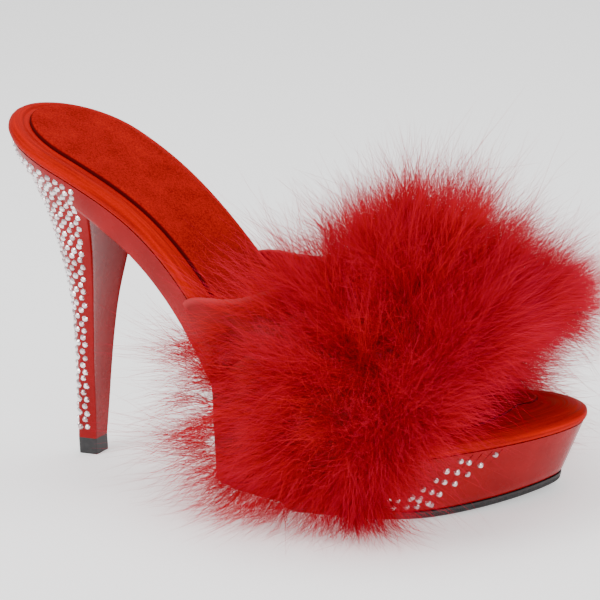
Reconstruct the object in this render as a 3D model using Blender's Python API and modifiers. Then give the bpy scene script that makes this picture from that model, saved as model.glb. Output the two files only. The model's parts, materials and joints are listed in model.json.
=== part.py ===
"""Right-foot platform mule on a stiletto heel, with a feather trimmed vamp.

Metres, X towards the toe, Y towards the inner side of the foot, Z up.
The origin is the middle of the heel top piece's ground face.
"""
from collections import namedtuple
from math import acos, cos, hypot, pi, sin, sqrt
from random import Random

import bmesh
import bpy
import numpy as np
from mathutils import Vector

# Lengths and heights of the moulded unit
SOLE_LENGTH = 0.2048
HEEL_OVERHANG = 0.0200
SEAT_HEIGHT = 0.1212
PLATFORM_HEIGHT = 0.0187
TOE_RISE = 0.0053
TOE_SPRING = 0.0045
BALL_WIDTH = 0.0760
SHANK_THICKNESS = 0.0093

# How far the lower edge of the unit's side lies inside its upper edge
SEAT_TUCK = 0.0070
SHANK_TUCK = 0.0022
PLATFORM_TUCK = 0.0040
TOE_TUCK = 0.0085
WAIST = 0.5
WAIST_TUCK = 0.4
UNDERSIDE_CROWN = -0.0001

# The platform's rear face leans from the tread up into the shank
PLATFORM_REAR = 0.0950
REAR_FACE_SLOPE = 1.55
REAR_BLEND_START = 0.50
REAR_BLEND_LENGTH = 0.08
OUTSOLE_THICKNESS = 0.0024
OUTSOLE_EDGE_INSET = 0.0006
OUTSOLE_EDGE_HEIGHT = 0.0008
OUTSOLE_CORNER = 0.0090

# Heel column and its top piece
TIP_DEPTH = 0.0084
TIP_WIDTH = 0.0078
TIP_HEIGHT = 0.0056
TIP_ROUND = 0.0004
HEEL_BACK = 0.0183
HEEL_BREAST = 0.0210
HEEL_HALF_WIDTH = 0.0250
HEEL_SINK = 0.0015
HEEL_CORNER = 0.28
HEEL_CORNER_RUN = 0.7
HEEL_BACK_SHARE = 0.62
HEEL_ARC_STEPS = 12

# Groups of slanted grooves at both ends of the platform's side panel
GROOVE_WIDTH = 0.0010
GROOVE_DEPTH = 0.0009
GROOVE_OUTSIDE = 0.0020
GROOVE_FALLS = (0.12, 0.5, 0.9)
GROOVE_PITCH = 0.0029
GROOVE_LEAN = 0.0125
REAR_GROOVES_AT = 0.0900
FRONT_GROOVES_AT = 0.1640
GROOVES_PER_GROUP = 4

# Wrapped footbed with its rounded rim, and the raised sock pad
RIM_HEIGHT = 0.0054
RIM_BULGE = 0.0012
RIM_LOW_INSET = 0.0004
RIM_TOP_INSET = 0.0018
RIM_BELLY = 0.40
RIM_SHOULDER = 0.75
RIM_SHOULDER_BULGE = 0.6
PAD_INSET = 0.0052
PAD_THICKNESS = 0.0014
PAD_EDGE_INSET = 0.0012
PAD_EDGE_HEIGHT = 0.6

# Vamp: a wall over the foot, open at heel, toe and underneath
VAMP_WALL = 0.0016
COLLAR_NEAR = 0.0610
COLLAR_FAR = 0.0575
COLLAR_CROWN = 0.1050
FRONT_NEAR = 0.1360
FRONT_FAR = 0.1420
FRONT_CROWN = 0.1540
INSTEP_HEIGHT = 0.0612
COLLAR_CURVE = 1.15

# Feather trim
FUR_EDGE = 0.0060
FUR_START = 0.24
FUR_END = 0.985
FUR_FRONT_FAN = 1.1
FUR_REAR_FAN = 0.5
FUR_FLOOR = 0.0090
FUR_HANG = 0.25
FUR_SEED = 11
LOCK_LENGTH = 0.0250
LOCK_FLOOR = 0.0030
LOCK_STEPS = ((0.5, 0.62), (0.5, 0.16))
LOCK_SWIRL = 0.18
LOCK_DROOP = 0.1

GAP = 0.0003

SIDE_STATIONS = 44
TREAD_STATIONS = 26
VAMP_ACROSS = 22
VAMP_FORTH = 10
FUR_ACROSS = 26
FUR_FORTH = 10
ANGLE_STEP = 0.002

# A row for each section of the sole. along is a share of the sole length, arch a share
# of the seat's height over the ball, lift of the toe's rise; swing (of the centre line)
# and half (half the width, before the rounded ends) are shares of the ball width.
SoleRow = namedtuple("SoleRow", "along arch lift swing half")
SOLE_ROWS = [
    SoleRow(0.00, 1.000, 0.00, 0.000, 0.360),
    SoleRow(0.10, 0.914, 0.00, 0.000, 0.363),
    SoleRow(0.20, 0.808, 0.00, 0.001, 0.346),
    SoleRow(0.28, 0.696, 0.00, -0.004, 0.318),
    SoleRow(0.35, 0.568, 0.00, -0.026, 0.310),
    SoleRow(0.42, 0.405, 0.00, -0.054, 0.326),
    SoleRow(0.48, 0.238, 0.00, -0.071, 0.370),
    SoleRow(0.55, 0.078, 0.00, -0.076, 0.433),
    SoleRow(0.62, 0.008, 0.00, -0.058, 0.476),
    SoleRow(0.70, 0.000, 0.08, -0.024, 0.498),
    SoleRow(0.80, 0.000, 0.46, 0.020, 0.500),
    SoleRow(0.90, 0.000, 0.82, 0.098, 0.500),
    SoleRow(1.00, 0.000, 1.00, 0.205, 0.500),
]
HEEL_ROUND = 0.14
TOE_ROUND = 0.26
TOE_FULLNESS = 0.55
SPRING_START = 0.74

# Where along the sole each tuck of the side holds
TUCK_ROWS = [
    (0.00, SEAT_TUCK),
    (0.10, SEAT_TUCK),
    (0.25, SHANK_TUCK),
    (0.50, SHANK_TUCK),
    (0.64, PLATFORM_TUCK),
    (0.84, PLATFORM_TUCK),
    (1.00, TOE_TUCK),
]

# A row for each section of the heel, from the top piece (rise 0) to the seat (rise 1).
# back, breast and half run from the tip's size (0) to the seat's (1).
HeelRow = namedtuple("HeelRow", "rise back breast half")
HEEL_ROWS = [
    HeelRow(0.00, 0.000, 0.000, 0.00),
    HeelRow(0.10, -0.045, 0.070, 0.04),
    HeelRow(0.25, -0.125, 0.155, 0.11),
    HeelRow(0.40, -0.115, 0.260, 0.18),
    HeelRow(0.52, -0.055, 0.365, 0.26),
    HeelRow(0.62, 0.060, 0.475, 0.36),
    HeelRow(0.72, 0.225, 0.580, 0.47),
    HeelRow(0.82, 0.450, 0.670, 0.60),
    HeelRow(0.91, 0.695, 0.790, 0.76),
    HeelRow(1.00, 1.000, 1.000, 1.00),
]

# Rises at which the heel is modelled, closer together where it flares
HEEL_CUTS = [0, 0.05, 0.12, 0.2, 0.3, 0.4, 0.5, 0.58, 0.66, 0.74, 0.81, 0.87, 0.93, 1]

# Height of the foot's ridge over the sole, as a share of the instep height
RidgeRow = namedtuple("RidgeRow", "along height")
RIDGE_ROWS = [
    RidgeRow(0.35, 0.88),
    RidgeRow(0.45, 0.95),
    RidgeRow(0.53, 1.00),
    RidgeRow(0.61, 0.98),
    RidgeRow(0.72, 0.77),
    RidgeRow(0.84, 0.56),
    RidgeRow(1.00, 0.40),
]

# The feather puffs: the middle of each and the root that its feathers stand away from,
# as shares along the sole, of the ball width from the centre line and of the instep
# height; reach is its radius as a share of the ball width.
PuffRow = namedtuple("PuffRow", "along across height root_along root_across root reach")
PUFFS = [
    PuffRow(0.770, 0.06, 0.84, 0.745, 0.03, 0.55, 0.37),
    PuffRow(0.680, -0.38, 0.25, 0.670, -0.21, 0.18, 0.37),
    PuffRow(0.690, 0.36, 0.30, 0.680, 0.20, 0.20, 0.33),
    PuffRow(0.840, -0.20, 0.38, 0.760, -0.10, 0.30, 0.34),
    PuffRow(0.880, 0.08, 0.41, 0.780, 0.04, 0.36, 0.32),
    PuffRow(0.812, -0.42, 0.19, 0.735, -0.30, 0.15, 0.29),
]


def spline(knots, values):
    """A natural cubic curve through the values, straight beyond its ends."""
    knots = np.array(knots, float)
    values = np.array(values, float)
    count = len(knots)
    steps = np.diff(knots)
    slopes = np.diff(values) / steps
    matrix = np.eye(count)
    right = np.zeros(count)
    for i in range(1, count - 1):
        matrix[i, i - 1 : i + 2] = steps[i - 1], 2 * (steps[i - 1] + steps[i]), steps[i]
        right[i] = 6 * (slopes[i] - slopes[i - 1])
    bends = np.linalg.solve(matrix, right)
    first = slopes[0] - steps[0] * bends[1] / 6
    last = slopes[-1] + steps[-1] * bends[-2] / 6

    def at(place):
        if place <= knots[0]:
            return float(values[0] + first * (place - knots[0]))
        if place >= knots[-1]:
            return float(values[-1] + last * (place - knots[-1]))
        i = int(np.searchsorted(knots, place)) - 1
        step = steps[i]
        a = (knots[i + 1] - place) / step
        b = 1 - a
        bend = ((a**3 - a) * bends[i] + (b**3 - b) * bends[i + 1]) * step**2 / 6
        return float(a * values[i] + b * values[i + 1] + bend)

    return at


def lerp(a, b, share):
    return a + (b - a) * share


along_of = [row.along for row in SOLE_ROWS]
arch_at = spline(along_of, [row.arch for row in SOLE_ROWS])
lift_at = spline(along_of, [row.lift for row in SOLE_ROWS])
swing_at = spline(along_of, [row.swing for row in SOLE_ROWS])
half_at = spline(along_of, [row.half for row in SOLE_ROWS])
ridge_at = spline([r.along for r in RIDGE_ROWS], [r.height for r in RIDGE_ROWS])
tuck_places = [place for place, _ in TUCK_ROWS]
tuck_sizes = [size for _, size in TUCK_ROWS]
rise_of = [row.rise for row in HEEL_ROWS]
back_at = spline(rise_of, [row.back for row in HEEL_ROWS])
breast_at = spline(rise_of, [row.breast for row in HEEL_ROWS])
width_at = spline(rise_of, [row.half for row in HEEL_ROWS])


def along(x):
    return (x + HEEL_OVERHANG) / SOLE_LENGTH


def x_of(share):
    return share * SOLE_LENGTH - HEEL_OVERHANG


def sole_top(x):
    """Height of the unit's upper face, on which the footbed lies."""
    share = along(x)
    arch = (SEAT_HEIGHT - PLATFORM_HEIGHT) * arch_at(share)
    return PLATFORM_HEIGHT + arch + TOE_RISE * lift_at(share)


def sole_normal(x):
    step = SOLE_LENGTH / 400
    slope = (sole_top(x + step) - sole_top(x - step)) / (2 * step)
    length = hypot(slope, 1)
    return -slope / length, 1 / length


def raised(x, y, height):
    """The point that stands at this height square over the unit's upper face."""
    nx, nz = sole_normal(x)
    return Vector((x + nx * height, y, sole_top(x) + nz * height))


def spring(x):
    late = max(0.0, (along(x) - SPRING_START) / (1 - SPRING_START))
    return TOE_SPRING * late**2


def tuck(share):
    return float(np.interp(share, tuck_places, tuck_sizes))


def half_width(share):
    """Half the outline's width, with rounded heel and toe."""
    width = half_at(share) * BALL_WIDTH
    if share < HEEL_ROUND:
        width *= sqrt(max(0.0, 1 - ((HEEL_ROUND - share) / HEEL_ROUND) ** 2))
    if share > 1 - TOE_ROUND:
        late = (share - 1 + TOE_ROUND) / TOE_ROUND
        width *= max(0.0, 1 - late**2) ** TOE_FULLNESS
    return width


def edge_point(angle):
    """The outline, from the heel (angle 0) by the near side to the toe and back."""
    share = (1 - cos(angle)) / 2
    side = -1 if 0 <= angle <= pi else 1
    middle = swing_at(share) * BALL_WIDTH
    return Vector((x_of(share), middle + side * half_width(share)))


def inset_point(angle, inset):
    """The outline drawn in by the inset: a number, or a function of station."""
    turn = edge_point(angle + ANGLE_STEP) - edge_point(angle - ANGLE_STEP)
    inward = Vector((-turn.y, turn.x)).normalized()
    share = (1 - cos(angle)) / 2
    return edge_point(angle) + inward * (inset(share) if callable(inset) else inset)


def outline(inset):
    return [inset_point(pi * i / SIDE_STATIONS, inset) for i in range(2 * SIDE_STATIONS)]


def tidy(bm):
    bmesh.ops.remove_doubles(bm, verts=bm.verts, dist=0.00002)
    bmesh.ops.recalc_face_normals(bm, faces=bm.faces)


def new_object(name, bm, material, collection, smooth=35):
    mesh = bpy.data.meshes.new(name)
    bm.to_mesh(mesh)
    bm.free()
    item = bpy.data.objects.new(name, mesh)
    collection.objects.link(item)
    if material:
        mesh.materials.append(material)
    mesh.shade_smooth()
    mesh.set_sharp_from_angle(angle=smooth * pi / 180)
    return item


def plain_material(name, colour, roughness, metallic=0.0):
    material = bpy.data.materials.new(name)
    material.use_nodes = True
    shader = material.node_tree.nodes["Principled BSDF"]
    shader.inputs["Base Color"].default_value = (*colour, 1)
    shader.inputs["Roughness"].default_value = roughness
    shader.inputs["Metallic"].default_value = metallic
    return material


def ladder(bm, ring, flip, crown=0.0):
    """Close a ring with rungs from the near side to the far side."""
    count = len(ring) // 2
    middles = {}
    for i in range(1, count):
        if crown:
            point = (ring[i].co + ring[-i].co) / 2 + Vector((0, 0, crown))
            middles[i] = bm.verts.new(point)
    for i in range(count):
        near_a, near_b = ring[i], ring[i + 1]
        far_a, far_b = ring[-i], ring[-i - 1]
        strips = [[near_a, near_b, far_b, far_a]]
        if crown:
            mid_a, mid_b = middles.get(i, near_a), middles.get(i + 1, near_b)
            strips = [[near_a, near_b, mid_b, mid_a], [mid_a, mid_b, far_b, far_a]]
        for strip in strips:
            corners = list(dict.fromkeys(strip))
            if len(corners) > 2:
                bm.faces.new(corners[::-1] if flip else corners)


def stack(rings, crown=0.0):
    """A closed body from rings of points, lowest first, with a ladder at each end."""
    bm = bmesh.new()
    loops = [[bm.verts.new(point) for point in ring] for ring in rings]
    for low, high in zip(loops, loops[1:]):
        for i in range(len(low)):
            j = (i + 1) % len(low)
            bm.faces.new([low[i], low[j], high[j], high[i]])
    ladder(bm, loops[0], True, crown)
    ladder(bm, loops[-1], False)
    tidy(bm)
    return bm


def tread_level(x):
    """Height of the unit's flat underside, just over the outsole."""
    return spring(x) + OUTSOLE_THICKNESS + GAP


def underside(top, share):
    """The unit's lower edge under an upper edge point: shank, rear face or tread."""
    nx, nz = sole_normal(top.x)
    blend = min(1.0, max(0.0, (share - REAR_BLEND_START) / REAR_BLEND_LENGTH))
    x = top.x - nx * SHANK_THICKNESS * (1 - blend)
    level = tread_level(x)
    face = level + max(0.0, PLATFORM_REAR - x) * REAR_FACE_SLOPE
    z = min(sole_top(top.x) - nz * SHANK_THICKNESS, face)
    if x > PLATFORM_REAR:
        z = level
    return Vector((x, top.y, max(z, level)))


def unit_rings():
    shares = [(1 - cos(pi * i / SIDE_STATIONS)) / 2 for i in range(2 * SIDE_STATIONS)]
    upper = outline(0)
    middle = outline(lambda share: WAIST_TUCK * tuck(share))
    lower = outline(tuck)
    low_ring, mid_ring, top_ring = [], [], []
    for share, a, b, c in zip(shares, upper, middle, lower):
        top = Vector((a.x, a.y, sole_top(a.x)))
        foot = underside(Vector((c.x, c.y, 0)), share)
        waist = top.lerp(foot, WAIST)
        top_ring.append(top)
        mid_ring.append(Vector((waist.x, b.y, waist.z)))
        low_ring.append(foot)
    return [low_ring, mid_ring, top_ring]


def heel_ring(rise):
    """One section of the heel: round at the back, flat at the breast."""
    back = lerp(TIP_DEPTH / 2, HEEL_BACK, back_at(rise))
    breast = lerp(TIP_DEPTH / 2, HEEL_BREAST, breast_at(rise))
    half = lerp(TIP_WIDTH / 2, HEEL_HALF_WIDTH, width_at(rise))
    corner = HEEL_CORNER * half
    side_end = breast - HEEL_CORNER_RUN * corner
    round_depth = min(HEEL_BACK_SHARE * (back + breast), half)
    centre = round_depth - back
    ring = [(breast, -(half - corner)), (side_end, -half)]
    for i in range(HEEL_ARC_STEPS + 1):
        turn = pi * i / HEEL_ARC_STEPS
        ring.append((centre - round_depth * sin(turn), -half * cos(turn)))
    ring += [(side_end, half), (breast, half - corner)]
    foot = TIP_HEIGHT + GAP
    return [Vector((x, y, lerp(foot, sole_top(x) - HEEL_SINK, rise))) for x, y in ring]


def column(rings):
    """A closed body from rings, with a flat face at each end."""
    bm = bmesh.new()
    loops = [[bm.verts.new(point) for point in ring] for ring in rings]
    for low, high in zip(loops, loops[1:]):
        for i in range(len(low)):
            j = (i + 1) % len(low)
            bm.faces.new([low[i], low[j], high[j], high[i]])
    bm.faces.new(loops[0][::-1])
    bm.faces.new(loops[-1])
    tidy(bm)
    return bm


def make_unit(parts, cutters, material):
    body = stack(unit_rings(), crown=UNDERSIDE_CROWN)
    unit = new_object("unit_sole", body, material, parts)
    heel = new_object("heel_form", column([heel_ring(r) for r in HEEL_CUTS]), None, cutters)
    joined = unit.modifiers.new("heel", "BOOLEAN")
    joined.operation = "UNION"
    joined.object = heel
    for side in (-1, 1):
        for start, lean in ((REAR_GROOVES_AT, 1), (FRONT_GROOVES_AT, -1)):
            for i in range(GROOVES_PER_GROUP):
                at = start + lean * i * GROOVE_PITCH
                groove = groove_cutter(at, lean, side, cutters)
                cut = unit.modifiers.new("groove", "BOOLEAN")
                cut.operation = "DIFFERENCE"
                cut.object = groove
    return unit


def side_point(x, side, fall):
    """A point of the platform's side: fall 0 is its upper edge, 1 its lower edge."""
    share = along(x)
    half = half_width(share) - tuck(share) * fall
    z = lerp(sole_top(x), tread_level(x), fall)
    return Vector((x, swing_at(share) * BALL_WIDTH + side * half, z))


def groove_cutter(at, lean, side, collection):
    """A thin slanted bar let into the platform's side."""
    rows = []
    corners = [(-1, -GROOVE_DEPTH), (1, -GROOVE_DEPTH), (1, GROOVE_OUTSIDE), (-1, GROOVE_OUTSIDE)]
    for fall in GROOVE_FALLS:
        x = at + lean * GROOVE_LEAN * fall
        here = side_point(x, side, fall)
        ahead = side_point(x + GROOVE_WIDTH, side, fall)
        run = (ahead - here).normalized()
        out = Vector((run.y, -run.x, 0)).normalized() * -side
        rows.append([here + run * w * GROOVE_WIDTH / 2 + out * d for w, d in corners])
    return new_object("groove_form", column(rows), None, collection)


def tread_ring(inset, height):
    """The unit's lower edge ahead of the platform's rear, with rounded rear corners."""
    start = acos(1 - 2 * along(PLATFORM_REAR))
    sides = []
    for side in (1, -1):
        points = []
        for i in range(TREAD_STATIONS + 1):
            angle = lerp(start, pi, (1 - cos(pi * i / TREAD_STATIONS)) / 2)
            point = inset_point(side * angle % (2 * pi), lambda share: tuck(share) + inset)
            ahead = min(1.0, max(0.0, point.x - PLATFORM_REAR) / OUTSOLE_CORNER)
            point.y += side * OUTSOLE_CORNER * (1 - sqrt(1 - (1 - ahead) ** 2))
            points.append(Vector((point.x, point.y, spring(point.x) + height)))
        sides.append(points)
    near, far = sides
    rear = (near[0] + far[0]) / 2
    return [rear] + near + far[-2::-1]


def make_outsole(parts, material):
    """The black forefoot tread, flat at the ball and sprung at the toe."""
    rings = [
        tread_ring(OUTSOLE_EDGE_INSET, 0),
        tread_ring(0, OUTSOLE_EDGE_HEIGHT),
        tread_ring(0, OUTSOLE_THICKNESS),
    ]
    return new_object("outsole", stack(rings), material, parts)


def make_heel_top_piece(parts, material):
    ring = heel_ring(0)
    worn = 1 - 2 * TIP_ROUND / TIP_WIDTH
    low = [Vector((p.x * worn, p.y * worn, 0)) for p in ring]
    mid = [Vector((p.x, p.y, TIP_ROUND)) for p in ring]
    top = [Vector((p.x, p.y, TIP_HEIGHT)) for p in ring]
    return new_object("heel_top_piece", column([low, mid, top]), material, parts)


def pad_rings(profile):
    """Rings from a list of insets from the outline and heights over the unit."""
    rings = []
    for inset, height in profile:
        rings.append([raised(p.x, p.y, height) for p in outline(inset)])
    return rings


def make_footbed(parts, material):
    profile = [
        (RIM_LOW_INSET, GAP),
        (-RIM_BULGE, GAP + RIM_BELLY * RIM_HEIGHT),
        (-RIM_SHOULDER_BULGE * RIM_BULGE, GAP + RIM_SHOULDER * RIM_HEIGHT),
        (RIM_TOP_INSET, GAP + RIM_HEIGHT),
    ]
    return new_object("footbed", stack(pad_rings(profile)), material, parts, 50)


def make_sock_pad(parts, material):
    base = RIM_HEIGHT + 2 * GAP
    profile = [
        (PAD_INSET, base),
        (PAD_INSET, base + PAD_EDGE_HEIGHT * PAD_THICKNESS),
        (PAD_INSET + PAD_EDGE_INSET, base + PAD_THICKNESS),
    ]
    return new_object("sock_pad", stack(pad_rings(profile)), material, parts, 50)


def vamp_point(across, forth):
    """The vamp's inner face: across from -1 (near foot) to 1, forth from 0 to 1."""
    side = -1 if across < 0 else 1
    lean = abs(across) * pi / 2
    rise = cos(lean)
    collar = COLLAR_NEAR if side < 0 else COLLAR_FAR
    front = FRONT_NEAR if side < 0 else FRONT_FAR
    rear_x = lerp(collar, COLLAR_CROWN, rise**COLLAR_CURVE)
    front_x = lerp(front, FRONT_CROWN, rise)
    x = lerp(rear_x, front_x, forth)
    share = along(x)
    middle = swing_at(share) * BALL_WIDTH
    reach = half_width(share) + RIM_BULGE + GAP
    height = ridge_at(share) * INSTEP_HEIGHT
    y = middle + side * reach * sin(lean)
    return Vector((x, y, sole_top(x) + GAP + height * rise))


def vamp_normal(across, forth):
    step = 0.01
    run = vamp_point(min(across + step, 1), forth) - vamp_point(max(across - step, -1), forth)
    ahead = vamp_point(across, min(forth + step, 1)) - vamp_point(across, max(forth - step, 0))
    return ahead.cross(run).normalized()


def make_vamp(parts, material):
    bm = bmesh.new()
    rows = []
    for j in range(VAMP_FORTH + 1):
        row = []
        for i in range(VAMP_ACROSS + 1):
            point = vamp_point(2 * i / VAMP_ACROSS - 1, j / VAMP_FORTH)
            row.append(bm.verts.new(point))
        rows.append(row)
    for low, high in zip(rows, rows[1:]):
        for i in range(VAMP_ACROSS):
            bm.faces.new([low[i], high[i], high[i + 1], low[i + 1]])
    vamp = new_object("vamp_upper", bm, material, parts, 50)
    wall = vamp.modifiers.new("wall", "SOLIDIFY")
    wall.thickness = VAMP_WALL
    wall.offset = 1
    wall.use_even_offset = True
    return vamp


def puff_spot(place, across, height):
    y = (swing_at(place) + across) * BALL_WIDTH
    return Vector((x_of(place), y, sole_top(x_of(place)) + height * INSTEP_HEIGHT))


def fur_base(across, late):
    """The trim's inner face, over the vamp and down beside the platform."""
    lift = VAMP_WALL + 2 * GAP
    side = max(-1.0, min(1.0, across))
    foot = vamp_point(side, late) + vamp_normal(side, late) * lift
    fall = max(0.0, abs(across) - 1) / FUR_HANG
    foot.z = lerp(foot.z, FUR_FLOOR, fall)
    return foot


def fur_direction(point):
    """Feathers stand away from the roots of the puffs, the nearest one most."""
    total = Vector()
    for puff in PUFFS:
        away = point - puff_spot(puff.root_along, puff.root_across, puff.root)
        total += away.normalized() / away.length**2.5
    return total.normalized()


def fur_way(base, across, late):
    """Which way the feathers grow here: they fan out over the vamp's front and rear edges."""
    side = max(-1.0, min(1.0, across))
    forward = (vamp_point(side, late + 0.01) - vamp_point(side, late - 0.01)).normalized()
    front = max(0.0, (late - 0.6) / 0.4) ** 2
    rear = max(0.0, (0.5 - late) / 0.3) ** 2
    fan = FUR_FRONT_FAN * front - FUR_REAR_FAN * min(rear, 1.0)
    way = vamp_normal(side, late) * 0.4 + fur_direction(base) * 0.6 + forward * fan
    return way.normalized()


def fur_outer(base, way):
    """The trim's outer face: out to the farthest puff that the feathers fill."""
    depth = FUR_EDGE
    for puff in PUFFS:
        offset = base - puff_spot(puff.along, puff.across, puff.height)
        across_ray = offset.dot(way)
        inside = across_ray**2 - offset.length_squared + (puff.reach * BALL_WIDTH) ** 2
        if inside > 0:
            depth = max(depth, sqrt(inside) - across_ray)
    spot = base + way * depth
    spot.z = max(spot.z, FUR_FLOOR - 0.5 * FUR_EDGE)
    return spot


def make_marabou(parts, material):
    """A fluffy body over the vamp, whose outer faces are drawn out into locks."""
    bm = bmesh.new()
    inner, outer = [], []
    for j in range(FUR_FORTH + 1):
        late = lerp(FUR_START, FUR_END, j / FUR_FORTH)
        low, high = [], []
        for i in range(FUR_ACROSS + 1):
            across = lerp(-1 - FUR_HANG, 1 + FUR_HANG, i / FUR_ACROSS)
            base = fur_base(across, late)
            low.append(bm.verts.new(base))
            high.append(bm.verts.new(fur_outer(base, fur_way(base, across, late))))
        inner.append(low)
        outer.append(high)
    shown = []
    for j in range(FUR_FORTH):
        for i in range(FUR_ACROSS):
            a, b = inner[j], inner[j + 1]
            bm.faces.new([a[i], a[i + 1], b[i + 1], b[i]])
            a, b = outer[j], outer[j + 1]
            shown.append(bm.faces.new([a[i], b[i], b[i + 1], a[i + 1]]))
        for i, turn in ((0, 1), (FUR_ACROSS, -1)):
            ring = [inner[j][i], inner[j + 1][i], outer[j + 1][i], outer[j][i]]
            bm.faces.new(ring[::turn])
    for i in range(FUR_ACROSS):
        for j, turn in ((0, -1), (FUR_FORTH, 1)):
            ring = [inner[j][i], inner[j][i + 1], outer[j][i + 1], outer[j][i]]
            shown.append(bm.faces.new(ring[::turn]))
    bmesh.ops.recalc_face_normals(bm, faces=bm.faces)
    draw_locks(bm, shown)
    return new_object("marabou_trim", bm, material, parts)


def draw_locks(bm, faces):
    """Draw each face out into a tapered lock in two steps, drooping a little."""
    random = Random(FUR_SEED)
    for reach, taper in LOCK_STEPS:
        grown = []
        for face in faces:
            centre = face.calc_center_median()
            way = (fur_direction(centre) + face.normal * 0.5).normalized()
            swirl = Vector([random.uniform(-1, 1) for _ in range(3)])
            way = (way + LOCK_SWIRL * swirl - Vector((0, 0, LOCK_DROOP))).normalized()
            length = LOCK_LENGTH * reach * random.uniform(0.6, 1.0)
            made = bmesh.ops.extrude_discrete_faces(bm, faces=[face])["faces"][0]
            for vert in made.verts:
                vert.co = centre + (vert.co - centre) * taper + way * length
                vert.co.z = max(vert.co.z, LOCK_FLOOR)
            made.normal_update()
            grown.append(made)
        faces = grown


def main():
    for item in list(bpy.data.objects):
        bpy.data.objects.remove(item, do_unlink=True)
    parts = bpy.data.collections.new("platform_mule")
    cutters = bpy.data.collections.new("cutters")
    bpy.context.scene.collection.children.link(parts)
    bpy.context.scene.collection.children.link(cutters)

    moulded = plain_material("moulded_red", (0.45, 0.006, 0.015), 0.16)
    rubber = plain_material("black_rubber", (0.015, 0.015, 0.016), 0.6)
    wrapped = plain_material("red_wrap", (0.62, 0.03, 0.015), 0.5)
    suede = plain_material("red_suede", (0.5, 0.012, 0.01), 0.85)
    satin = plain_material("red_satin", (0.55, 0.008, 0.01), 0.4)
    feather = plain_material("red_feather", (0.5, 0.006, 0.02), 0.8)

    make_unit(parts, cutters, moulded)
    make_outsole(parts, rubber)
    make_heel_top_piece(parts, rubber)
    make_footbed(parts, wrapped)
    make_sock_pad(parts, suede)
    make_vamp(parts, satin)
    make_marabou(parts, feather)
    for item in cutters.objects:
        item.hide_render = True
        item.display_type = "WIRE"


main()
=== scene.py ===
import json
from math import acos, cos, pi, radians, sin

import bpy
import numpy as np
from mathutils import Matrix, Vector
from mathutils.bvhtree import BVHTree

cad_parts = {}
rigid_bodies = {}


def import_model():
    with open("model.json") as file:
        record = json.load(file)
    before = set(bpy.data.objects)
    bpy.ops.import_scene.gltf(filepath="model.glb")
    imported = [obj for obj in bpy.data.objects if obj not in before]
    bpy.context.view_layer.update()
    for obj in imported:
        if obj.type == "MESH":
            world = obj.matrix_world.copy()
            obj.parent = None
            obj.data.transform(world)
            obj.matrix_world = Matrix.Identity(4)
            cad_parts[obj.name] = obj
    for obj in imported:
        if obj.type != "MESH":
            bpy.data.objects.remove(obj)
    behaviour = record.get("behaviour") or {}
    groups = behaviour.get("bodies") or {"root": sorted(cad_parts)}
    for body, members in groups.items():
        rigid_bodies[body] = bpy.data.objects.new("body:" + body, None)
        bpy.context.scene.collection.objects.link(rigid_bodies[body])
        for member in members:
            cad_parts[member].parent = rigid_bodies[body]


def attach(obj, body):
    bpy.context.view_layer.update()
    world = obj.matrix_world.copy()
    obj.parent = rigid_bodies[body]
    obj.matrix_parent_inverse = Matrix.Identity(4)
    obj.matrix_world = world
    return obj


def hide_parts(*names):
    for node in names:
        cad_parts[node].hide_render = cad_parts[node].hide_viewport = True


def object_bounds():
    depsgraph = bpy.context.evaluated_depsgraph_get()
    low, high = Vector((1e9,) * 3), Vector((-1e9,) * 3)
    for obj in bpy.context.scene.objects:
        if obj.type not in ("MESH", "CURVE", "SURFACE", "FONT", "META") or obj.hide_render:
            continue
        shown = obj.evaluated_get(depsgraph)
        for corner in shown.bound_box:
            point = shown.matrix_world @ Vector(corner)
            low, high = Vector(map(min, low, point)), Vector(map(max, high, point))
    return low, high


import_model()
cadLow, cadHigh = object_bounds()

# The sole's form, in metres and in shares of its length and ball width, as in the CAD.
sole = {
    "length": 0.2048,
    "overhang": 0.0200,
    "seatHeight": 0.1212,
    "platformHeight": 0.0187,
    "toeRise": 0.0053,
    "toeSpring": 0.0045,
    "springStart": 0.74,
    "ballWidth": 0.0760,
    "thickness": 0.0093,
    "heelRound": 0.14,
    "toeRound": 0.26,
    "toeFullness": 0.55,
    "treadLevel": 0.0027,
    "rearFace": 0.0950,
    "rearSlope": 1.55,
    "stations": 130,
}
# along, arch, lift, swing, half
soleRows = [
    (0.00, 1.000, 0.00, 0.000, 0.360),
    (0.10, 0.914, 0.00, 0.000, 0.363),
    (0.20, 0.808, 0.00, 0.001, 0.346),
    (0.28, 0.696, 0.00, -0.004, 0.318),
    (0.35, 0.568, 0.00, -0.026, 0.310),
    (0.42, 0.405, 0.00, -0.054, 0.326),
    (0.48, 0.238, 0.00, -0.071, 0.370),
    (0.55, 0.078, 0.00, -0.076, 0.433),
    (0.62, 0.008, 0.00, -0.058, 0.476),
    (0.70, 0.000, 0.08, -0.024, 0.498),
    (0.80, 0.000, 0.46, 0.020, 0.500),
    (0.90, 0.000, 0.82, 0.098, 0.500),
    (1.00, 0.000, 1.00, 0.205, 0.500),
]
# along, how far the side's lower edge lies inside the upper one
tuckRows = [
    (0.00, 0.0070),
    (0.10, 0.0070),
    (0.25, 0.0022),
    (0.50, 0.0022),
    (0.64, 0.0040),
    (0.84, 0.0040),
    (1.00, 0.0085),
]


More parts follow.
